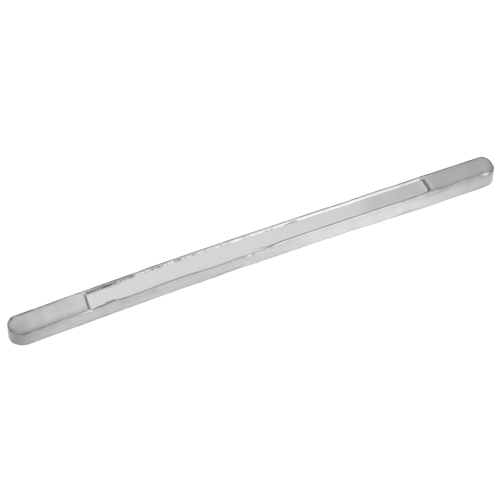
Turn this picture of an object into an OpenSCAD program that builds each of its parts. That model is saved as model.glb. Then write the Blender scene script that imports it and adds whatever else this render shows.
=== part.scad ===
// Cast metal ingot: a long bar with drafted sides and round-cornered ends, lying on its wide base.
// A shallow tray is let into its top. It leaves a pad at each end and a thin rim along each side.

/* [Bar] */
// Length of the bar at its widest, just above the base
bar_length = 400; // [300:1:600]
// Width of the bar at its widest, just above the base
bar_width = 20; // [18:0.5:32]
// Height of the bar from its base to its pads
bar_height = 15; // [10:0.5:20]
// Draft of the cast sides and ends, in degrees from upright
draft_angle = 5; // [2:0.5:8]

/* [Edges] */
// Plan radius of the bar's four corners at its widest
corner_radius = 8.5; // [6:0.1:8.9]
// Radius of the edge between the sides and the top
top_edge_radius = 1; // [0.4:0.1:1.2]
// Radius of the edge between the sides and the base
base_edge_radius = 0.8; // [0.4:0.1:1.5]

/* [Tray] */
// Length of the pad that each end keeps at full height
pad_length = 57.5; // [30:0.5:100]
// Width of the rim that each long side keeps at full height
rim_width = 1.7; // [1.5:0.1:2.4]
// Depth of the tray's floor below the pads
tray_depth = 1.8; // [1:0.1:2.6]
// Lean of the tray's long walls, in degrees from upright
wall_angle = 34; // [20:1:48]
// Lean of the tray's end walls, in degrees from upright
end_wall_angle = 54; // [30:1:60]
// Radius of the tray's four corners at its floor, across the bar
tray_corner_radius = 1; // [0.9:0.1:1.2]
// Radius of the fillet between the long walls and the floor
floor_fillet = 0.5; // [0.2:0.1:0.6]
// Radius of the lip between the long walls and the top
lip_radius = 0.3; // [0.1:0.1:0.5]

/* [Hidden] */
$fn = 64;
// How far a cut runs past the face that it opens
overrun = 1;
// How far a rounded edge stands proud of the flats beside it, so that its arc crosses them
arc_overlap = 0.0005;
// Step that the corner axes are rounded to, so that the pieces between them meet face to face
place_step = 0.01;

// How far the draft puts the base edge out past the widest line, and the top edge in from it
base_reach = reach(base_edge_radius, 90 - draft_angle);
base_outset = base_reach - base_edge_radius;
top_inset = bar_height * tan(draft_angle) - base_outset;
// How far the lean brings in each long wall of the tray at its floor
wall_run = tray_depth * tan(wall_angle);
// How many times as far the tray's ends reach as its sides, since their walls lean further
end_stretch = tan(end_wall_angle) / tan(wall_angle);
// Distance from the middle to the corner axes of the bar, and to those of the tray before it is stretched
bar_axis_x = snapped(bar_length / 2 - corner_radius);
bar_axis_y = snapped(bar_width / 2 - corner_radius);
tray_mouth_x = (bar_length / 2 - top_inset - pad_length) / end_stretch;
tray_axis_x = snapped(tray_mouth_x - wall_run - tray_corner_radius);
tray_axis_y = snapped(bar_width / 2 - top_inset - rim_width - wall_run - tray_corner_radius);

function snapped(place) = round(place / place_step) * place_step;

// Distance from a corner to the points where an arc of this radius meets its two edges
function reach(radius, corner_angle) = radius / tan(corner_angle / 2);

// Half section of the bar, from a corner axis out to the drafted side
module bar_section() {
    up_side = [-sin(draft_angle), cos(draft_angle)];
    base_edge = [corner_radius + base_outset, 0];
    top_edge = [corner_radius - top_inset, bar_height];
    top_reach = reach(top_edge_radius, 90 + draft_angle);
    polygon([
        [0, 0],
        base_edge - [base_reach, 0],
        base_edge + base_reach * up_side,
        top_edge - top_reach * up_side,
        top_edge - [top_reach, 0],
        [0, bar_height],
    ]);
    translate(base_edge + [-base_reach, base_edge_radius]) circle(base_edge_radius + arc_overlap);
    translate(top_edge - [top_reach, top_edge_radius]) circle(top_edge_radius + arc_overlap);
}

// Half section of what the tray takes out, from a corner axis to the leaning wall, with the top at zero
module tray_section() {
    up_wall = [sin(wall_angle), cos(wall_angle)];
    floor_edge = [tray_corner_radius, -tray_depth];
    floor_reach = reach(floor_fillet, 90 + wall_angle);
    lip = [tray_corner_radius + wall_run, 0];
    lip_reach = reach(lip_radius, 90 + wall_angle);
    difference() {
        polygon([
            [0, -tray_depth],
            floor_edge - [floor_reach, 0],
            floor_edge + floor_reach * up_wall,
            lip - lip_reach * up_wall,
            lip + [lip_reach, 0],
            lip + [lip_reach, overrun],
            [0, overrun],
        ]);
        translate(lip + [lip_reach, -lip_radius]) circle(lip_radius + arc_overlap);
    }
    translate(floor_edge + [-floor_reach, floor_fillet]) circle(floor_fillet + arc_overlap);
}

// Runs a half section round the four corner axes: turned at each axis and straight between two
module run_round(axis_x, axis_y) {
    for (turn = [0, 180]) rotate(turn) {
        translate([axis_x, axis_y, 0]) rotate_extrude(angle = 90) children();
        translate([axis_x, -axis_y, 0]) rotate(-90) rotate_extrude(angle = 90) children();
        translate([axis_x, axis_y, 0]) rotate([90, 0, 0]) linear_extrude(2 * axis_y) children();
        translate([-axis_x, axis_y, 0]) rotate([90, 0, 90]) linear_extrude(2 * axis_x) children();
    }
}

module bar() {
    run_round(bar_axis_x, bar_axis_y) bar_section();
    translate([-bar_axis_x, -bar_axis_y, 0]) cube([2 * bar_axis_x, 2 * bar_axis_y, bar_height]);
}

module tray() {
    run_round(tray_axis_x, tray_axis_y) tray_section();
    translate([-tray_axis_x, -tray_axis_y, -tray_depth])
        cube([2 * tray_axis_x, 2 * tray_axis_y, tray_depth + overrun]);
}

// The whole casting, one solid
module ingot() {
    color("silver") difference() {
        bar();
        translate([0, 0, bar_height]) scale([end_stretch, 1, 1]) tray();
    }
}

ingot();
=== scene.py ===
"""Cast metal ingot on a white studio floor: the drafted bar with its tray, relaid as one fine mesh."""
import math
import random

import bmesh
import bpy
import numpy as np
from mathutils import Matrix, Vector


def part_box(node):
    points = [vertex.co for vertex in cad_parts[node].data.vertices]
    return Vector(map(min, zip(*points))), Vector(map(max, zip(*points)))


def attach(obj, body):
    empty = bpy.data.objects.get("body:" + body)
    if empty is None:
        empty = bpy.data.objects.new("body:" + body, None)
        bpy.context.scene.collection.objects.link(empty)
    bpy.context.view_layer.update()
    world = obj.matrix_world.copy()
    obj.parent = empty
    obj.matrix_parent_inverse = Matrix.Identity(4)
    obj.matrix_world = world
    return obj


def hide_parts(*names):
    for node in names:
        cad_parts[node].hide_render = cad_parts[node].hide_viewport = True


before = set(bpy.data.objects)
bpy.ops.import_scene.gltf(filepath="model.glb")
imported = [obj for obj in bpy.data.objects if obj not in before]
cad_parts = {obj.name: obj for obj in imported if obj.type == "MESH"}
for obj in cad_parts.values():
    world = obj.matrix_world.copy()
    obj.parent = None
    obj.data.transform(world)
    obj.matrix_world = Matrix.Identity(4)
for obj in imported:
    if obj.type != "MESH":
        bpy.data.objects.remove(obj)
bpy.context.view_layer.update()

# Sizes of the bar, in metres
LOW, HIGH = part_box("ingot")
HALF_LENGTH = (HIGH.x - LOW.x) / 2
HALF_WIDTH = (HIGH.y - LOW.y) / 2
HEIGHT = HIGH.z
CORNER_RADIUS = 0.0085
DRAFT = math.radians(5)
TOP_EDGE_RADIUS = 0.0010
BASE_EDGE_RADIUS = 0.0008
AXIS_X = HALF_LENGTH - CORNER_RADIUS
AXIS_Y = HALF_WIDTH - CORNER_RADIUS

# Sizes of the tray, whose end walls lean further than its long walls
PAD_LENGTH = 0.0575
RIM_WIDTH = 0.0017
TRAY_DEPTH = 0.0018
WALL_ANGLE = math.radians(34)
LEFT_WALL_ANGLE = math.radians(43)
RIGHT_WALL_ANGLE = math.radians(61)
LEFT_TRAY_CORNER = 0.0004
RIGHT_TRAY_CORNER = 0.0010
LEFT_STEP_IN = 0.00075
LEFT_STEP_SKEW = 0.08
RIGHT_STEP_OUT = 0.0008
FLOOR_BLEND = 0.0003
TIGHT_FLOOR_BLEND = 0.00015
LIP_BLEND = 0.0002
RIGHT_LIP_BLEND = 0.0004
WALL_RUN = TRAY_DEPTH * math.tan(WALL_ANGLE)

# How far the arcs of the two edges reach along the faces they join, and the outlines they leave on the top
BASE_REACH = BASE_EDGE_RADIUS / math.tan(math.pi / 4 - DRAFT / 2)
TOP_REACH = TOP_EDGE_RADIUS / math.tan(math.pi / 4 + DRAFT / 2)
TOP_INSET = HEIGHT * math.tan(DRAFT) - BASE_REACH + BASE_EDGE_RADIUS
TOP_FLAT = CORNER_RADIUS - TOP_INSET - TOP_REACH
MOUTH_X = HALF_LENGTH - TOP_INSET - PAD_LENGTH
MOUTH_Y = HALF_WIDTH - TOP_INSET - RIM_WIDTH

# Where the tray's lip turns rounder, just before the right step
RIGHT_LIP = (MOUTH_X - 0.004, MOUTH_X - 0.001)

# Steps between the points of the mesh, finer by the tray's walls, and how far past a wall they stay fine
PLAIN_STEP = 0.0008
LONG_STEP = 0.0004
END_WALL_STEP = 0.00022
WALL_STEP = 0.00015
RIM_STEP = 0.00018
BASE_STEP = 0.002
CORNER_STEP = math.radians(5)
TOP_EDGE_STEPS = 7
SIDE_STEPS = 8
BASE_EDGE_STEPS = 6
PAST_END_WALL_FOOT = 0.0008
PAST_END_WALL_TOP = 0.0018
PAST_WALL_FOOT = 0.0004
PAST_WALL_TOP = 0.0003

# A stretch is the start and end of its rise, then those of its fall. These lie past the bar itself
FROM_LEFT = (-0.25, -0.21)
TO_RIGHT = (0.21, 0.25)
OVER_TOP = (HEIGHT + 0.001, HEIGHT + 0.002)

# Bend of this bar in plan, at its middle, and how much of it leans to one end
BOW = 0.00255
BOW_SKEW = -0.00155

# Near rim of this casting: it sags over the left half, with a hump, and draws the side's upper part down
LOW_RIM = (-0.1412, -0.1388, -0.006, 0.007)
LOW_RIM_ACROSS = (0.0040, 0.0056)
LOW_RIM_DROP = 0.00180
RIM_HUMP = (-0.1300, -0.1262, -0.1212, -0.1178)
RIM_HUMP_ACROSS = (0.0066, 0.0078)
RIM_HUMP_HEIGHT = 0.0003
RIM_REACH = 0.006

# Sharper near edge and narrower near rim over the right half, and wider far rim by the left step
SHARP_EDGE = (-0.008, 0.002, 0.133, 0.140)
SHARP_EDGE_RADIUS = 0.0004
NARROW_RIM = (-0.010, 0.004, 0.134, 0.1395)
RIM_NARROWED = 0.0009
WIDE_FAR_RIM = (-0.1400, -0.1375, -0.115, -0.102)
FAR_RIM_WIDENED = 0.0006

# Long sides that stand out of line: each stretch along the bar, and how far out it stands
NEAR_TOP_SWAYS = (
    ((*FROM_LEFT, 0.000, 0.024), 0.0009),
    ((-0.138, -0.133, -0.117, -0.109), -0.0005),
    ((-0.095, -0.084, -0.066, -0.050), -0.0007),
    ((-0.050, -0.042, -0.034, -0.022), 0.0004),
    ((0.148, 0.165, 0.188, 0.197), -0.0006),
)
NEAR_FOOT_SWAYS = (
    ((*FROM_LEFT, -0.180, -0.150), -0.0004),
    ((-0.042, -0.032, -0.020, -0.010), -0.00045),
    ((0.072, 0.096, 0.184, 0.196), 0.0008),
    ((0.120, 0.134, 0.142, 0.156), 0.0004),
)
FAR_SWAYS = (
    ((*FROM_LEFT, -0.195, -0.165), 0.0005),
    ((-0.148, -0.140, -0.100, -0.084), -0.0003),
    ((0.058, 0.066, 0.076, 0.082), -0.0002),
    ((0.084, 0.094, 0.108, 0.118), 0.0002),
    ((0.110, 0.150, *TO_RIGHT), 0.0005),
)
SWAY_ACROSS = (0.001, 0.008)

# Ends of this casting: where the left tip stands in or out, and corners squarer or longer than the mould's
NEAR_TIP_IN = 0.0012
NEAR_TIP_ALONG = (*FROM_LEFT, -0.200, -0.192)
NEAR_TIP_ACROSS = (-0.001, 0.004)
LEFT_TIP_OUT = 0.0003
LEFT_TIP_ALONG = (*FROM_LEFT, -0.199, -0.188)
LEFT_TIP_ACROSS = (-0.001, 0.002, 0.005, 0.007)
SQUARER_CORNERS = {(-1, 1): 0.0006, (1, 1): 0.0003}
LONGER_CORNER = 1.72

# Pads that fall away toward their outer edges, less on the far side
PAD_SHOULDER = 0.0006
SHOULDER_WIDTH = 0.005
SHOULDER_ALONG = (MOUTH_X, MOUTH_X + 0.010)
SHOULDER_ACROSS = (-0.002, 0.004)
FAR_SHOULDER_SHARE = 0.35

# Flats rubbed on the near edge, left without painted shade so that they show bright: how they face, across
# and up, then start, end and depth of each
FLAT_FACING = (-0.700, 0.714)
RUBBED_FLATS = ((-0.1410, -0.1367, 0.0003), (-0.0158, -0.0103, 0.0003), (0.1852, 0.1920, 0.0002))
RUB_EASE = (-0.00008, -0.00001)

# Waves of the tray's long walls, each as its depth, its length and the seed that it is drawn with
FAR_WAVES = ((0.00009, 0.022, 3), (0.00002, 0.007, 4))
NEAR_WAVES = ((0.00012, 0.030, 5), (0.00003, 0.009, 6))
WAVES_END = (MOUTH_X - 0.012, MOUTH_X - 0.002)
WAVES_ACROSS = (0.003, 0.005)

# Tighter foot of the near wall: how tight it is and how much that swings, then length and seed of its wave
TIGHT_LEVEL = 0.8
TIGHT_SWING = 0.4
TIGHT_WAVE = (0.02, 7)

# Ripples of the pour on the tray's far wall, even by the left step and uneven after it
RIPPLE_LENGTH = 0.0025
RIPPLE_DEPTH = 0.00002
RIPPLES_ACROSS = (0.0048, 0.0054, 0.0078, 0.0088)
EVEN_RIPPLES = (-MOUTH_X, -MOUTH_X + 0.004, -0.117, -0.105)
UNEVEN_RIPPLES = (-0.110, -0.090, -0.060, -0.030)
UNEVEN_RIPPLE = (0.0042, 8)

# Stretches by the bar's ends where both the sides and the pads get more painted shade
LEFT_END = (*FROM_LEFT, -0.200, -0.145)
LEFT_TIP = (*FROM_LEFT, -0.197, -0.180)
RIGHT_THIRD = (0.100, 0.150, *TO_RIGHT)

# Painted shade on the sides: its level, then what each stretch adds all over and near the top
PAINTED_SIDE_SHADE = 0.45
SIDE_STRETCHES = (
    ((*FROM_LEFT, -0.050, 0.060), 0.40),
    ((*FROM_LEFT, -0.100, -0.060), 0.11),
    (LEFT_END, 0.50),
    (LEFT_TIP, 0.30),
    (RIGHT_THIRD, 0.20),
    ((0.120, 0.200, *TO_RIGHT), 0.50),
)
UPPER_SIDE = (HEIGHT - 0.007, HEIGHT - 0.002)
PAINTED_UPPER_SIDE_SHADE = 0.10
UPPER_SIDE_STRETCHES = (
    ((-0.160, -0.152, -0.143, -0.139), 0.15),
    ((-0.020, 0.010, *TO_RIGHT), 0.10),
    ((0.130, 0.145, *TO_RIGHT), 0.15),
)

# Painted shade on the sides: high up, by the near edge and by the base, each with its stretch and its
# heights. The first by the near edge takes shade away and is painted light
HIGH_PAINTED_SHADES = (
    ((-0.122, -0.112, -0.094, -0.080), (0.0050, 0.0085, 0.0108, 0.0122), 0.22),
    ((0.124, 0.142, 0.148, 0.158), (0.0080, 0.0135, *OVER_TOP), 0.24),
)
BY_NEAR_EDGE = (HEIGHT - 0.0024, HEIGHT - 0.0009, *OVER_TOP)
NEAR_EDGE_PAINTED_LIGHT = (
    ((-0.0100, -0.0080, 0.0005, 0.0040), (0.0112, 0.0122, *OVER_TOP), -0.35),
    ((-0.002, 0.010, *TO_RIGHT), BY_NEAR_EDGE, 0.22),
    ((0.100, 0.118, 0.140, 0.150), BY_NEAR_EDGE, 0.45),
)
LOW_PAINTED_SHADE_HEIGHT = 0.003
LOW_PAINTED_SHADES = (
    ((-0.050, -0.040, -0.026, -0.014), 0.35),
    ((0.105, 0.118, 0.125, 0.135), 0.35),
)

# Painted shade on the pads: its level, what stretches add, a band along the near side and the left inner
# corner
PAINTED_PAD_SHADE = 0.05
PAD_STRETCHES = ((LEFT_END, 0.25), (LEFT_TIP, 0.45), (RIGHT_THIRD, 0.35))
NEAR_BAND_ACROSS = (0.002, 0.005)
NEAR_BANDS = (((-0.195, -0.188, *TO_RIGHT), (0, 0.0006, 0.0012, 0.0050), 0.30),)
INNER_CORNER_ACROSS = (0.003, 0.007)
INNER_CORNERS = (((-0.148, -0.144, -0.141, -0.140), 0.25),)

# Painted shade along the top edge: how far in it reaches, then its level on each side and what stretches
# add
EDGE_RISE = (-0.0001, 0.0002)
EDGE_BAND = (*EDGE_RISE, 0.0008, 0.0016)
WIDE_EDGE_BAND = (*EDGE_RISE, 0.0018, 0.0034)
FAR_PART = (-0.004, 0.002)
PAD_PART = (MOUTH_X - 0.002, MOUTH_X + 0.006)
FAR_EDGE_DARK = 2.05
FAR_LEFT_PAD_DARK = 0.15
FAR_CORNERS = (
    ((-0.1985, -0.1940, -0.1860, -0.1680), 1.0),
    ((-0.1785, -0.1745, -0.1660, -0.1580), 0.7),
    ((0.170, 0.176, 0.184, 0.192), 0.3),
)
NEAR_PAD_DARK = 0.30
NEAR_PAD_STRETCHES = (((*FROM_LEFT, -0.175, -0.150), 0.45),)
NEAR_EDGE_STRETCHES = (((-0.1375, -0.1360, -0.1310, -0.1270), 0.50),)
LEFT_TIP_PALER = (((*FROM_LEFT, -0.1975, -0.1920), 0.6),)
RIGHT_TIP_DARKER = (((AXIS_X - 0.004, AXIS_X + 0.002, *TO_RIGHT), 0.6),)

# Painted shade on the rims: bands along the near one with how far in they lie, and stretches of both
NEAR_RIM_BANDS = (
    (RIM_HUMP, (0.0002, 0.0006, 0.0014, 0.0023), 0.35),
    ((0.010, 0.020, 0.150, 0.158), (-0.0001, 0, 0.0002, 0.0003), 0.25),
    ((0.105, 0.118, 0.140, 0.150), (-0.0001, 0, 0.0004, 0.0007), 0.40),
    ((0.132, 0.142, *TO_RIGHT), (0.0001, 0.0003, 0.0007, 0.0010), 0.50),
)
NEAR_RIM_STRETCHES = (((-0.004, 0.004, 0.006, 0.009), 0.6),)
FAR_RIM_STRETCHES = (((-0.1395, -0.1360, -0.0850, -0.0600), 0.9),)
RIM_FADE = 0.0004

# Where the smooth near rim and the sides start, in radii of the top edge
NEAR_RIM_START = (0.8, 1.4)
SIDE_START = (0.8, 1.6)

# Painted shade along the base's edge
BASE_EDGE_HEIGHT = (BASE_EDGE_RADIUS * 0.5, BASE_EDGE_RADIUS * 2)
BASE_EDGE_DARK = 0.5
BASE_EDGE_STRETCHES = (((-0.165, -0.145, -0.095, -0.085), 0.45),)

# Painted shade in the tray: how far up a wall each part lies, and the stretches that get painted shade, are
# rougher or are specked
FAR_WALL_FROM = 0.004
FAR_WALL = (0, WALL_RUN * 0.3, WALL_RUN * 0.8, WALL_RUN * 1.1)
WALL_FOOT = (-0.0002, 0, WALL_RUN * 0.4, WALL_RUN * 0.6)
END_WALL = (-0.0001, 0.0001, WALL_RUN * 0.3, WALL_RUN * 1.2)
PAINTED_END_WALL_SHADE = 0.8
END_WALL_FROM = 0.13
END_WALL_REACH = 0.006
NEAR_RIM = (*LOW_RIM[:2], 0.134, 0.139)
RIGHT_FLOOR = (((0.075, 0.095, *TO_RIGHT), 0.15),)
ROUGHER_FLOOR = (((0.070, 0.100, *TO_RIGHT), 0.6),)
# Painted shade across the far wall's ripples, each stretch with its amount
RIPPLE_SHADES = (
    ((-0.1385, -0.1368, -0.1100, -0.1020), 0.7),
    ((-0.1385, -0.1368, -0.1030, -0.0950), 0.5),
)
RIPPLE_SHADE_LEVEL = 1.1
RIPPLE_SHADE_SWING = 0.5
SPECKED_STRETCHES = (
    ((-0.115, -0.105, -0.050, -0.020), 1.2),
    ((0.005, 0.008, 0.012, 0.014), 0.8),
    ((0.018, 0.021, 0.029, 0.031), 0.8),
    ((0.116, 0.122, 0.136, 0.140), 1.0),
)
# Painted shade along the far wall's foot, each stretch as its start and end
FOOT_SHADES = ((0.0052, 0.0080), (0.0093, 0.0121), (0.0210, 0.0335))
FOOT_SHADE_EASE = 0.001

# Skin of the metal: lightest and darkest colour, the shade that is darkest, and how fine each unevenness is
LIGHT_METAL = (0.79, 0.79, 0.795, 1)
DARK_METAL = (0.20, 0.20, 0.203, 1)
DARKEST_SHADE = 2.1
EDGE_SCALE = 160
BLOTCH_SCALE = 90
MOTTLE_SCALE = 750
STREAK_SCALE = 420
STREAK_STRETCH = 0.12
GRAIN_SCALE = 2600
PIT_SCALE = 700
SPECK_SCALE = 900

# How much each unevenness does: what of its noise counts, then what that becomes
NOISE_RANGE = (0.3, 0.7)
EDGE_RANGE = (0.35, 0.65)
PIT_RANGE = (0.68, 0.76)
SPECK_RANGE = (0.52, 0.64)
EDGE_SHARES = (0.4, 1.4)
BLOTCH_SWING = 0.10
STREAK_SWING = 0.07
MOTTLE_SWING = 0.07
FLOOR_ROUGHNESS = 0.16
SKIN_ROUGHNESS = (0.14, 0.22)
EDGE_SMOOTHER = 0.08
BUMP_STRENGTH = 0.25
BUMP_DISTANCE = 0.00012

# Camera that took the photograph: where it stands round the bar and how far off
VIEW_AZIMUTH = math.radians(23.337)
VIEW_ELEVATION = math.radians(53.044)
VIEW_DISTANCE = 0.93175
VIEW_TARGET = Vector((-0.007744, 0.005115, 0.0))
FOCAL_PIXELS = 1216.1
IMAGE_PIXELS = 500
SENSOR = 36.0

# Studio: level of the light all round, then each patch as direction, level, and inner and outer angle
STUDIO_LEVEL = 0.55
STUDIO_PATCHES = (
    ((-0.75, 0.50, 0.43), 0.20, 20, 55),
    ((0.85, 0.50, 0.15), 0.34, 15, 50),
    ((0.20, 0.95, 0.22), 0.20, 12, 30),
    ((0.06, 0.56, 0.825), 0.86, 8, 28),
    ((0.00, -0.40, 0.92), 0.62, 25, 48),
    ((0.62, -0.74, 0.25), 1.25, 34, 40),
    ((0.76, -0.60, 0.23), 0.66, 13, 25),
    ((-0.35, -0.92, 0.20), 0.13, 24, 36.5),
)

# White paper that the bar lies on, and how much it is lifted where it is seen
FLOOR_HALF = 20.0
PAPER = (0.9, 0.9, 0.9, 1)
FLOOR_LIFT = 0.66


def graded(*stretches):
    """Places from one stretch to the next, each given as (start, step), with a last (end, None)."""
    places = []
    for (start, step), (end, _) in zip(stretches, stretches[1:]):
        count = max(1, round(abs(end - start) / step))
        places.extend(start + (end - start) * i / count for i in range(count))
    return places + [stretches[-1][0]]


def arc(centre, radius, start, end, count):
    """Points on an arc in a section, from one angle to another."""
    angles = [start + (end - start) * i / count for i in range(count + 1)]
    return [(centre[0] + radius * math.cos(a), centre[1] + radius * math.sin(a)) for a in angles]


def wander(x, wavelength, seed):
    """Smooth uneven wave along x, about -1 to 1, made of a few sines near one wavelength."""
    draw = random.Random(seed)
    total = np.zeros_like(x)
    for _ in range(5):
        wave = wavelength * draw.uniform(0.6, 1.7)
        total += np.sin(2 * math.pi * (x / wave + draw.random()))
    return total / 3


def smooth_max(a, b, blend):
    """Larger of two values, rounded over where they cross."""
    return (a + b + np.sqrt((a - b) ** 2 + blend ** 2)) / 2


def smooth_min(a, b, blend):
    """Smaller of two values, rounded over where they cross."""
    return -smooth_max(-a, -b, blend)


def smooth_step(x, start, end):
    """Zero up to the start, one from the end on, with a smooth rise from one to the other."""
    t = np.clip((x - start) / (end - start), 0, 1)
    return t * t * (3 - 2 * t)


def between(x, rise_start, rise_end, fall_start, fall_end):
    """One inside a stretch, zero outside it, with a smooth rise and fall."""
    return smooth_step(x, rise_start, rise_end) - smooth_step(x, fall_start, fall_end)


def summed(x, stretches):
    """What all the stretches add at each place along the bar, each given as (stretch, amount)."""
    return sum(amount * between(x, *stretch) for stretch, amount in stretches)


def banded(x, across, bands):
    """What all bands add, each given as (stretch along the bar, stretch of the other measure, amount)."""
    return sum(amount * between(x, *along) * between(across, *band) for along, band, amount in bands)


def wall_wave(x, y):
    """How far the long walls wander in and out, each in its own way, and fading out at the tray's ends."""
    far = sum(depth * wander(x, length, seed) for depth, length, seed in FAR_WAVES)
    near = sum(depth * wander(x, length, seed) for depth, length, seed in NEAR_WAVES)
    inside = 1 - smooth_step(np.abs(x), *WAVES_END)
    return np.where(y > 0, far, near) * smooth_step(np.abs(y), *WAVES_ACROSS) * inside


def tray_distance(x, y):
    """Distance out from the edge of the tray's floor, negative over it, as the long walls count it."""
    left = x < 0
    end_share = math.tan(WALL_ANGLE) / np.tan(np.where(left, LEFT_WALL_ANGLE, RIGHT_WALL_ANGLE))
    mouth_x = np.where(left, MOUTH_X - LEFT_STEP_IN - LEFT_STEP_SKEW * y, MOUTH_X + RIGHT_STEP_OUT)
    radius = np.where(left, LEFT_TRAY_CORNER, RIGHT_TRAY_CORNER)
    over_x = (np.abs(x) - mouth_x) * end_share + WALL_RUN + radius
    near_out = RIM_NARROWED * between(x, *NARROW_RIM)
    far_out = -FAR_RIM_WIDENED * between(x, *WIDE_FAR_RIM)
    over_y = np.abs(y) - MOUTH_Y - np.where(y < 0, near_out, far_out) + WALL_RUN + radius
    outside = np.hypot(np.maximum(over_x, 0), np.maximum(over_y, 0))
    return outside + np.minimum(np.maximum(over_x, over_y), 0) - radius


def rim_drop(x, y):
    """How far the near rim sags below the pads."""
    sag = LOW_RIM_DROP * between(x, *LOW_RIM) * smooth_step(-y, *LOW_RIM_ACROSS)
    return sag - RIM_HUMP_HEIGHT * between(x, *RIM_HUMP) * smooth_step(-y, *RIM_HUMP_ACROSS)


def near_edge_radius(x):
    """Radius of the near top edge, smaller where that edge is sharp."""
    return TOP_EDGE_RADIUS + (SHARP_EDGE_RADIUS - TOP_EDGE_RADIUS) * between(x, *SHARP_EDGE)


def plan_radius(x, y):
    """Distance out from the line of the corner axes."""
    return np.hypot(np.maximum(np.abs(x) - AXIS_X, 0), np.maximum(np.abs(y) - AXIS_Y, 0))


def shoulder(x, y):
    """How far the pads fall away toward their outer edge."""
    inward = (TOP_FLAT - np.minimum(plan_radius(x, y), TOP_FLAT)) / SHOULDER_WIDTH
    on_pad = smooth_step(np.abs(x), *SHOULDER_ALONG)
    share = FAR_SHOULDER_SHARE + (1 - FAR_SHOULDER_SHARE) * smooth_step(-y, *SHOULDER_ACROSS)
    return PAD_SHOULDER * on_pad * share * np.maximum(1 - inward, 0) ** 2


def past_flats(points):
    """How far each point stands out past the flats rubbed on the near edge, negative where it doesn't."""
    x, y, z = points.T
    edge_y = -AXIS_Y - TOP_FLAT
    edge_z = HEIGHT - TOP_EDGE_RADIUS - rim_drop(x, edge_y) - shoulder(x, edge_y)
    out = (y - edge_y) * FLAT_FACING[0] + (z - edge_z) * FLAT_FACING[1]
    past = np.full_like(x, -1.0)
    for start, end, depth in RUBBED_FLATS:
        ease = (end - start) / 3
        cut = depth * between(x, start, start + ease, end - ease, end)
        past = np.where(cut > 0, out - TOP_EDGE_RADIUS + cut, past)
    return past


def ripple_turn(x, y):
    """Angle along the slanting ripples of the far wall, a full turn for each ripple."""
    return 2 * math.pi * (x + y - MOUTH_Y) / RIPPLE_LENGTH


def far_ripples(x, y):
    """Slanting ripples that the pour left on the far wall, strongest by the left end."""
    even = between(x, *EVEN_RIPPLES) * np.sin(ripple_turn(x, y))
    uneven = between(x, *UNEVEN_RIPPLES) * wander(x + y, *UNEVEN_RIPPLE)
    return RIPPLE_DEPTH * between(y, *RIPPLES_ACROSS) * (even + uneven)


def top_height(x, y):
    """Height of the top: pads and rims at full height, and the tray with its leaning walls."""
    rise = (tray_distance(x, y) + wall_wave(x, y)) / math.tan(WALL_ANGLE)
    tight = between(x, *SHARP_EDGE) * (y < 0) * (TIGHT_LEVEL + TIGHT_SWING * wander(x, *TIGHT_WAVE))
    floor_blend = FLOOR_BLEND + (TIGHT_FLOOR_BLEND - FLOOR_BLEND) * tight
    walls = smooth_max(rise - TRAY_DEPTH, -TRAY_DEPTH, floor_blend)
    lip_blend = LIP_BLEND + (RIGHT_LIP_BLEND - LIP_BLEND) * smooth_step(x, *RIGHT_LIP)
    return HEIGHT + smooth_min(walls, -rim_drop(x, y), lip_blend) + far_ripples(x, y) - shoulder(x, y)


def bend(x):
    """Sideways shift of the bowed bar, level about its middle line."""
    u = x / HALF_LENGTH
    return (BOW + BOW_SKEW * u) * (1 - u * u) - BOW / 2


def rails():
    """Where each point of a ring starts on the corner axes, and which way it goes out from there."""
    fine_start = MOUTH_X - TRAY_DEPTH * math.tan(RIGHT_WALL_ANGLE) - PAST_END_WALL_FOOT
    fine_end = MOUTH_X + PAST_END_WALL_TOP
    half = graded((0, LONG_STEP), (fine_start, END_WALL_STEP), (fine_end, PLAIN_STEP), (AXIS_X, None))
    along = [-x for x in reversed(half[1:])] + half
    across = graded((-AXIS_Y, PLAIN_STEP), (AXIS_Y, None))
    corner = graded((0, CORNER_STEP), (math.pi / 2, None))[1:-1]
    starts, ways = [], []
    for side in (1, -1):
        for x in along:
            starts.append((side * x, side * AXIS_Y))
            ways.append((0, side))
        for a in corner:
            starts.append((side * AXIS_X, side * AXIS_Y))
            ways.append((side * math.sin(a), side * math.cos(a)))
        for y in reversed(across):
            starts.append((side * AXIS_X, side * y))
            ways.append((side, 0))
        for a in corner:
            starts.append((side * AXIS_X, -side * AXIS_Y))
            ways.append((side * math.cos(a), -side * math.sin(a)))
    return np.array(starts), np.array(ways, float), along, across


def ring_places():
    """Radius and height of each ring, from the middle of the top, down the side, to that of the base."""
    wall_top = MOUTH_Y - AXIS_Y
    fine_start = wall_top - WALL_RUN - PAST_WALL_FOOT
    fine_end = wall_top + PAST_WALL_TOP
    top = graded((0, PLAIN_STEP), (fine_start, WALL_STEP), (fine_end, RIM_STEP), (TOP_FLAT, None))
    edge_centre = (TOP_FLAT, HEIGHT - TOP_EDGE_RADIUS)
    foot_centre = (CORNER_RADIUS - BASE_EDGE_RADIUS, BASE_EDGE_RADIUS)
    edge = arc(edge_centre, TOP_EDGE_RADIUS, math.pi / 2, DRAFT, TOP_EDGE_STEPS)
    foot = arc(foot_centre, BASE_EDGE_RADIUS, DRAFT, -math.pi / 2, BASE_EDGE_STEPS)
    side = []
    for i in range(1, SIDE_STEPS):
        t = i / SIDE_STEPS
        side.append(tuple(a + (b - a) * t for a, b in zip(edge[-1], foot[0])))
    base = [(r, 0.0) for r in graded((foot[-1][0], BASE_STEP), (0, None))[1:]]
    return [(r, None) for r in top[:-1]] + edge + side + foot + base


def grid_faces(start, rows, columns, closed):
    """Quads between rows of points, each row closed on itself or left open."""
    faces = []
    for i in range(rows - 1):
        for j in range(columns if closed else columns - 1):
            k = (j + 1) % columns
            a = start + i * columns
            faces.append((a + j, a + k, a + columns + k, a + columns + j))
    return faces


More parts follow.
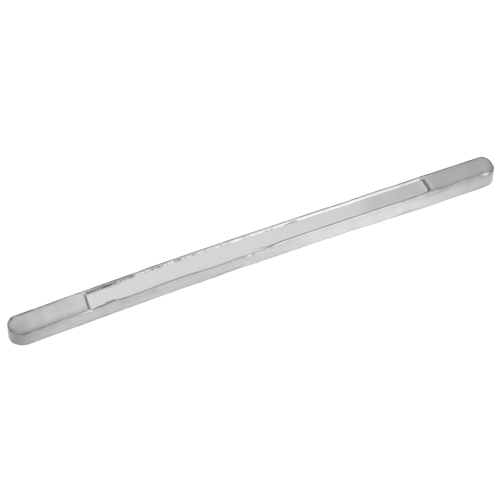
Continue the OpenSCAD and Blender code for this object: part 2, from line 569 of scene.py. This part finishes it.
def sharpen(x, y, radius, height):
    """How far out and up the points of a ring move so that the near edge gets its own radius."""
    tighter = (TOP_EDGE_RADIUS - near_edge_radius(x)) * (y < -AXIS_Y)
    across = min((radius - TOP_FLAT) / TOP_EDGE_RADIUS, 1)
    upward = max((height - HEIGHT) / TOP_EDGE_RADIUS + 1, 0)
    up = tighter * (1 - upward)
    return tighter * (1 - across) - up * math.tan(DRAFT), up


def bar_mesh():
    """Points and faces of the straight bar: rings from the top to the base, and a grid to close each."""
    starts, ways, along, across = rails()
    points, faces = [], []
    rings = ring_places()
    for radius, height in rings:
        xy = starts + radius * ways
        x, y = xy[:, 0], xy[:, 1]
        if height is None:
            z = top_height(x, y)
        else:
            by_top = smooth_step(height, HEIGHT - RIM_REACH, HEIGHT - TOP_EDGE_RADIUS)
            out, up = sharpen(x, y, radius, height)
            z = height + up * by_top - (rim_drop(x, y) + shoulder(x, y)) * by_top
            xy[:, 1] -= out * by_top
        points.append(np.column_stack([xy, z]))
    faces += grid_faces(0, len(rings), len(starts), True)
    count = len(rings) * len(starts)
    for level in ("top", "base"):
        x, y = [a.ravel() for a in np.meshgrid(along, across)]
        z = top_height(x, y) if level == "top" else np.zeros_like(x)
        points.append(np.column_stack([x, y, z]))
        core = grid_faces(count, len(across), len(along), False)
        faces += core if level == "top" else [f[::-1] for f in core]
        count += len(x)
    points = np.concatenate(points)
    points[:, 1:] -= np.outer(np.maximum(past_flats(points), 0), FLAT_FACING)
    return points, faces


def long_corner(x, y):
    """Places across the bar with its near left corner drawn out along it into a quarter of an ellipse."""
    radius = np.maximum(plan_radius(x, y), 1e-9)
    start = (LONGER_CORNER - 1) * radius
    along = np.clip((start - x - AXIS_X) / (start + radius), 0, 1)
    across = -AXIS_Y - radius * np.sqrt(1 - along ** 2)
    return np.where((y < -AXIS_Y) & (x < 0), across, y)


def shape_casting(points):
    """Sideways forms of this casting: its corners, its near and far side, its left tip, then its bow."""
    x, y, z = points.T
    moved_y = long_corner(x, y)
    for (end, side), push in SQUARER_CORNERS.items():
        out_x = np.maximum(end * x - AXIS_X, 0)
        out_y = np.maximum(side * y - AXIS_Y, 0)
        share = 2 * out_x * out_y / CORNER_RADIUS ** 2
        moved_y += side * push * share * out_y / CORNER_RADIUS
    foot_out = summed(x, NEAR_FOOT_SWAYS)
    near_out = foot_out + (summed(x, NEAR_TOP_SWAYS) - foot_out) * z / HEIGHT
    far_out = summed(x, FAR_SWAYS)
    moved_y += far_out * smooth_step(y, *SWAY_ACROSS) - near_out * smooth_step(-y, *SWAY_ACROSS)
    moved_y += NEAR_TIP_IN * between(x, *NEAR_TIP_ALONG) * smooth_step(-y, *NEAR_TIP_ACROSS)
    moved_x = x - LEFT_TIP_OUT * between(x, *LEFT_TIP_ALONG) * between(y, *LEFT_TIP_ACROSS)
    return np.column_stack([moved_x, moved_y + bend(x), z])


def painted_skin_shade(x, y, z, inward, side, pad):
    """Painted shade on the skin: more on the sides than on the pads, and more on both toward the ends."""
    on_side = PAINTED_SIDE_SHADE + summed(x, SIDE_STRETCHES) + banded(x, z, HIGH_PAINTED_SHADES)
    on_side = on_side + (PAINTED_UPPER_SIDE_SHADE + summed(x, UPPER_SIDE_STRETCHES)) * smooth_step(z, *UPPER_SIDE)
    on_side = on_side + summed(x, LOW_PAINTED_SHADES) * (z < LOW_PAINTED_SHADE_HEIGHT)
    on_side = on_side + banded(x, z, NEAR_EDGE_PAINTED_LIGHT) * (y < 0)
    on_pad = PAINTED_PAD_SHADE + summed(x, PAD_STRETCHES)
    on_pad = on_pad + banded(x, inward, NEAR_BANDS) * smooth_step(-y, *NEAR_BAND_ACROSS)
    on_pad = on_pad + summed(x, INNER_CORNERS) * smooth_step(-y, *INNER_CORNER_ACROSS)
    return side * on_side + pad * on_pad


def painted_edge_shade(x, y, inward):
    """Painted shade along the top edge and the rims: the far ones most, and some stretches of the near one.
    """
    on_pad = smooth_step(np.abs(x), *PAD_PART)
    far = smooth_step(y, *FAR_PART)
    far_edge = FAR_EDGE_DARK + FAR_LEFT_PAD_DARK * on_pad * (x < 0)
    near_edge = (NEAR_PAD_DARK + summed(x, NEAR_PAD_STRETCHES)) * on_pad + summed(x, NEAR_EDGE_STRETCHES)
    outline = far * far_edge + (1 - far) * near_edge
    outline = outline * (1 - summed(x, LEFT_TIP_PALER)) + summed(x, RIGHT_TIP_DARKER)
    far_corners = between(inward, *WIDE_EDGE_BAND) * summed(x, FAR_CORNERS) * far

    rim_width = RIM_WIDTH + FAR_RIM_WIDENED * between(x, *WIDE_FAR_RIM) * (y > 0)
    on_rim = between(inward, *EDGE_RISE, rim_width, rim_width + RIM_FADE)
    near_rim = banded(x, inward, NEAR_RIM_BANDS) + summed(x, NEAR_RIM_STRETCHES) * on_rim
    far_rim = summed(x, FAR_RIM_STRETCHES) * on_rim
    return between(inward, *EDGE_BAND) * outline + far_corners + np.where(y < 0, near_rim, far_rim)


def on_far_wall(y, distance, part):
    """Share of a part of the far wall, given by how far up from the wall's foot it lies."""
    return between(distance, *part) * (y > FAR_WALL_FROM)


def painted_wall_shade(x, y, distance):
    """Painted shade on the tray's walls: shade of the ripples and at the foot on the far one, and at the
    foot of the right one.
    """
    # Painted shade across the far wall's ripples, darker and lighter with their turn
    ripple = RIPPLE_SHADE_LEVEL + RIPPLE_SHADE_SWING * np.sin(ripple_turn(x, y))
    ripple_shade = on_far_wall(y, distance, FAR_WALL) * summed(x, RIPPLE_SHADES) * ripple
    # Painted shade along the far wall's foot
    foot_shade_share = sum(between(x, start, start + FOOT_SHADE_EASE, end - FOOT_SHADE_EASE, end) for start, end in FOOT_SHADES)
    foot_shade = on_far_wall(y, distance, WALL_FOOT) * foot_shade_share
    # Painted shade at the foot of the right wall
    at_right_wall = (x > END_WALL_FROM) * (np.abs(y) < END_WALL_REACH)
    return ripple_shade + foot_shade + PAINTED_END_WALL_SHADE * between(distance, *END_WALL) * at_right_wall


def surface_masks(points):
    """Shares at each point before the bow: how smooth, how much painted shade, how much painted shade along
    the edges, and how specked.
    """
    x, y, z = points.T
    distance = tray_distance(x, y)
    inward = TOP_FLAT + TOP_EDGE_RADIUS - plan_radius(x, y)
    on_top = z > HEIGHT - TRAY_DEPTH - 2 * FLOOR_BLEND
    floor = (1 - smooth_step(distance, *FAR_WALL[2:])) * on_top
    past_edge = smooth_step(inward / near_edge_radius(x), *NEAR_RIM_START)
    tray = np.maximum(floor, between(x, *NEAR_RIM) * (y < 0) * past_edge * on_top)
    edge_radius = np.where(y < 0, near_edge_radius(x), TOP_EDGE_RADIUS)
    side = smooth_step((HEIGHT - z) / edge_radius, *SIDE_START) * (1 - tray)
    pad = (1 - side) * (1 - tray)
    painted_shade = painted_skin_shade(x, y, z, inward, side, pad) + painted_wall_shade(x, y, distance) * on_top
    # The right part of the tray's floor is darker
    painted_shade = painted_shade + summed(x, RIGHT_FLOOR) * tray * (y < END_WALL_REACH)
    # Painted shade along the top edge, the rims and the base's edge
    edge = painted_edge_shade(x, y, inward) * (z > HEIGHT - RIM_REACH) * (1 - floor)
    at_base = 1 - smooth_step(z, *BASE_EDGE_HEIGHT)
    edge = edge + at_base * (BASE_EDGE_DARK + summed(x, BASE_EDGE_STRETCHES))
    # Painted shade and painted edge shade are left off the rubbed flats
    unworn = 1 - smooth_step(past_flats(points), *RUB_EASE)
    return {
        "smooth": tray * (1 - summed(x, ROUGHER_FLOOR)),
        "painted_shade": painted_shade * unworn,
        "edge": edge * unworn,
        "wall": on_far_wall(y, distance, FAR_WALL) * on_top * summed(x, SPECKED_STRETCHES),
    }


def make_ingot():
    """The casting as one closed mesh, with the shares that its material reads stored on its points."""
    points, faces = bar_mesh()
    mesh = bpy.data.meshes.new("ingot_casting")
    mesh.from_pydata(points.tolist(), [], faces)
    work = bmesh.new()
    work.from_mesh(mesh)
    bmesh.ops.remove_doubles(work, verts=work.verts, dist=1e-6)
    bmesh.ops.recalc_face_normals(work, faces=work.faces)
    for face in work.faces:
        face.smooth = True
    work.to_mesh(mesh)
    work.free()
    plain = np.array([v.co for v in mesh.vertices])
    for name, share in surface_masks(plain).items():
        mesh.attributes.new(name, "FLOAT", "POINT").data.foreach_set("value", share.astype(np.float32))
    mesh.vertices.foreach_set("co", shape_casting(plain).astype(np.float32).ravel())
    mesh.update()
    piece = bpy.data.objects.new("ingot_casting", mesh)
    bpy.context.collection.objects.link(piece)
    return piece


class Nodes:
    """Short way to add nodes to a tree: each input is a value, or the output of another node."""

    def __init__(self, owner):
        owner.use_nodes = True
        self.tree = owner.node_tree
        self.tree.nodes.clear()

    def add(self, kind, inputs=None, **settings):
        node = self.tree.nodes.new("ShaderNode" + kind)
        for name, value in settings.items():
            setattr(node, name, value)
        for name, value in (inputs or {}).items():
            if isinstance(value, bpy.types.NodeSocket):
                self.tree.links.new(value, node.inputs[name])
            else:
                node.inputs[name].default_value = value
        return node

    def math(self, operation, *values):
        return self.add("Math", dict(enumerate(values)), operation=operation).outputs[0]

    def spread(self, value, low, high, start, end, smooth=False):
        """Value between low and high, brought to the range from start to end."""
        kind = "SMOOTHSTEP" if smooth else "LINEAR"
        inputs = {"Value": value, "From Min": low, "From Max": high, "To Min": start, "To Max": end}
        return self.add("MapRange", inputs, interpolation_type=kind).outputs["Result"]

    def swing(self, noise, amount):
        """Noise brought to a swing of this amount either way."""
        return self.spread(noise, *NOISE_RANGE, -amount, amount)

    def noise(self, place, scale, detail=3.0):
        return self.add("TexNoise", {"Vector": place, "Scale": scale, "Detail": detail}).outputs["Fac"]

    def mask(self, name):
        return self.add("Attribute", attribute_name=name).outputs["Fac"]


def cast_metal():
    """Satin cast skin carrying painted shade, more toward the ends, with a smoother floor in the tray that
    carries little of it and so is brighter.
    """
    material = bpy.data.materials.new("cast_metal")
    n = Nodes(material)
    place = n.add("TexCoord").outputs["Object"]
    along = n.add("Mapping", {"Vector": place, "Scale": (STREAK_STRETCH, 1, 1)}).outputs[0]
    smooth, painted_shade, wall = n.mask("smooth"), n.mask("painted_shade"), n.mask("wall")
    # Painted shade along the edges, made uneven by noise
    edge_share = n.spread(n.noise(place, EDGE_SCALE), *EDGE_RANGE, *EDGE_SHARES)
    edge = n.math("MULTIPLY", n.mask("edge"), edge_share)
    rough_share = n.math("SUBTRACT", 1.0, smooth)

    blotch = n.noise(place, BLOTCH_SCALE)
    mottle = n.noise(place, MOTTLE_SCALE, detail=2)
    streak = n.noise(along, STREAK_SCALE, detail=5)
    grain = n.noise(place, GRAIN_SCALE, detail=2)
    pits = n.spread(n.noise(place, PIT_SCALE, detail=2), *PIT_RANGE, 0, 1, smooth=True)
    specks = n.spread(n.noise(place, SPECK_SCALE, detail=2), *SPECK_RANGE, 0, 1, smooth=True)

    uneven = n.math("ADD", n.swing(blotch, BLOTCH_SWING), n.swing(streak, STREAK_SWING))
    uneven = n.math("ADD", uneven, n.swing(mottle, MOTTLE_SWING))
    # Colour: the painted shade masks, the random tone and the specks darken the light metal toward the dark
    # one
    shade = n.math("ADD", painted_shade, n.math("MULTIPLY", uneven, rough_share))
    shade = n.math("ADD", n.math("ADD", shade, edge), n.math("MULTIPLY", wall, specks))
    colour = n.add("ValToRGB", {"Fac": n.math("DIVIDE", shade, DARKEST_SHADE)})
    light_end, dark_end = colour.color_ramp.elements
    light_end.color = LIGHT_METAL
    dark_end.color = DARK_METAL

    skin = n.spread(blotch, *NOISE_RANGE, *SKIN_ROUGHNESS)
    rough = n.math("ADD", FLOOR_ROUGHNESS, n.math("MULTIPLY", rough_share, skin))
    rough = n.math("SUBTRACT", rough, n.math("MULTIPLY", edge, EDGE_SMOOTHER))
    relief = n.math("SUBTRACT", n.math("ADD", grain, streak), pits)
    relief = n.math("MULTIPLY", rough_share, relief)
    bump = n.add("Bump", {"Height": relief, "Strength": BUMP_STRENGTH, "Distance": BUMP_DISTANCE})
    shader = n.add("BsdfPrincipled", {
        "Base Color": colour.outputs["Color"],
        "Metallic": 1.0,
        "Roughness": rough,
        "Normal": bump.outputs["Normal"],
    })
    n.add("OutputMaterial", {"Surface": shader.outputs[0]})
    return material


def make_floor():
    """White paper that keeps the shadow, lifted to white where it is seen straight on or in the metal."""
    size = FLOOR_HALF
    corners = [(-size, -size, 0), (size, -size, 0), (size, size, 0), (-size, size, 0)]
    floor = bpy.data.objects.new("floor", bpy.data.meshes.new("floor"))
    floor.data.from_pydata(corners, [], [(0, 1, 2, 3)])
    bpy.context.collection.objects.link(floor)
    material = bpy.data.materials.new("floor_paper")
    n = Nodes(material)
    rays = n.add("LightPath").outputs
    seen = n.math("MAXIMUM", rays["Is Camera Ray"], rays["Is Glossy Ray"])
    seen = n.math("MAXIMUM", seen, rays["Is Transmission Ray"])
    paper = n.add("BsdfDiffuse", {"Color": PAPER})
    glow = n.add("Emission", {"Strength": n.math("MULTIPLY", seen, FLOOR_LIFT)})
    both = n.add("AddShader", {0: paper.outputs[0], 1: glow.outputs[0]})
    n.add("OutputMaterial", {"Surface": both.outputs[0]})
    floor.data.materials.append(material)


def make_world():
    """Soft grey studio, with brighter and darker patches where its panels and dark walls stand."""
    world = bpy.data.worlds.new("studio")
    bpy.context.scene.world = world
    n = Nodes(world)
    way = n.add("TexCoord").outputs["Generated"]
    level = STUDIO_LEVEL
    for direction, patch_level, inner, outer in STUDIO_PATCHES:
        toward = tuple(Vector(direction).normalized())
        nearness = n.add("VectorMath", {0: way, 1: toward}, operation="DOT_PRODUCT").outputs["Value"]
        start, end = math.cos(math.radians(outer)), math.cos(math.radians(inner))
        share = n.spread(nearness, start, end, 0, 1, smooth=True)
        mix = n.add("Mix", {"Factor": share, "A": level, "B": patch_level}, data_type="FLOAT")
        level = mix.outputs["Result"]
    back = n.add("Background", {"Color": level})
    n.add("OutputWorld", {"Surface": back.outputs[0]})


def make_camera():
    """Camera at the photograph's place, looking at its target with its focal length."""
    forward = Vector((
        math.sin(VIEW_AZIMUTH) * math.cos(VIEW_ELEVATION),
        math.cos(VIEW_AZIMUTH) * math.cos(VIEW_ELEVATION),
        -math.sin(VIEW_ELEVATION),
    ))
    right = Vector((math.cos(VIEW_AZIMUTH), -math.sin(VIEW_AZIMUTH), 0))
    up = right.cross(forward)
    camera = bpy.data.objects.new("camera", bpy.data.cameras.new("camera"))
    camera.data.sensor_width = SENSOR
    camera.data.lens = FOCAL_PIXELS * SENSOR / IMAGE_PIXELS
    turn = Matrix((right, up, -forward)).transposed()
    camera.matrix_world = Matrix.Translation(VIEW_TARGET - VIEW_DISTANCE * forward) @ turn.to_4x4()
    bpy.context.collection.objects.link(camera)
    bpy.context.scene.camera = camera


ingot = make_ingot()
ingot.data.materials.append(cast_metal())
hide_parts("ingot")
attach(ingot, "root")
make_floor()
make_world()
make_camera()
bpy.context.scene.view_settings.view_transform = "Standard"
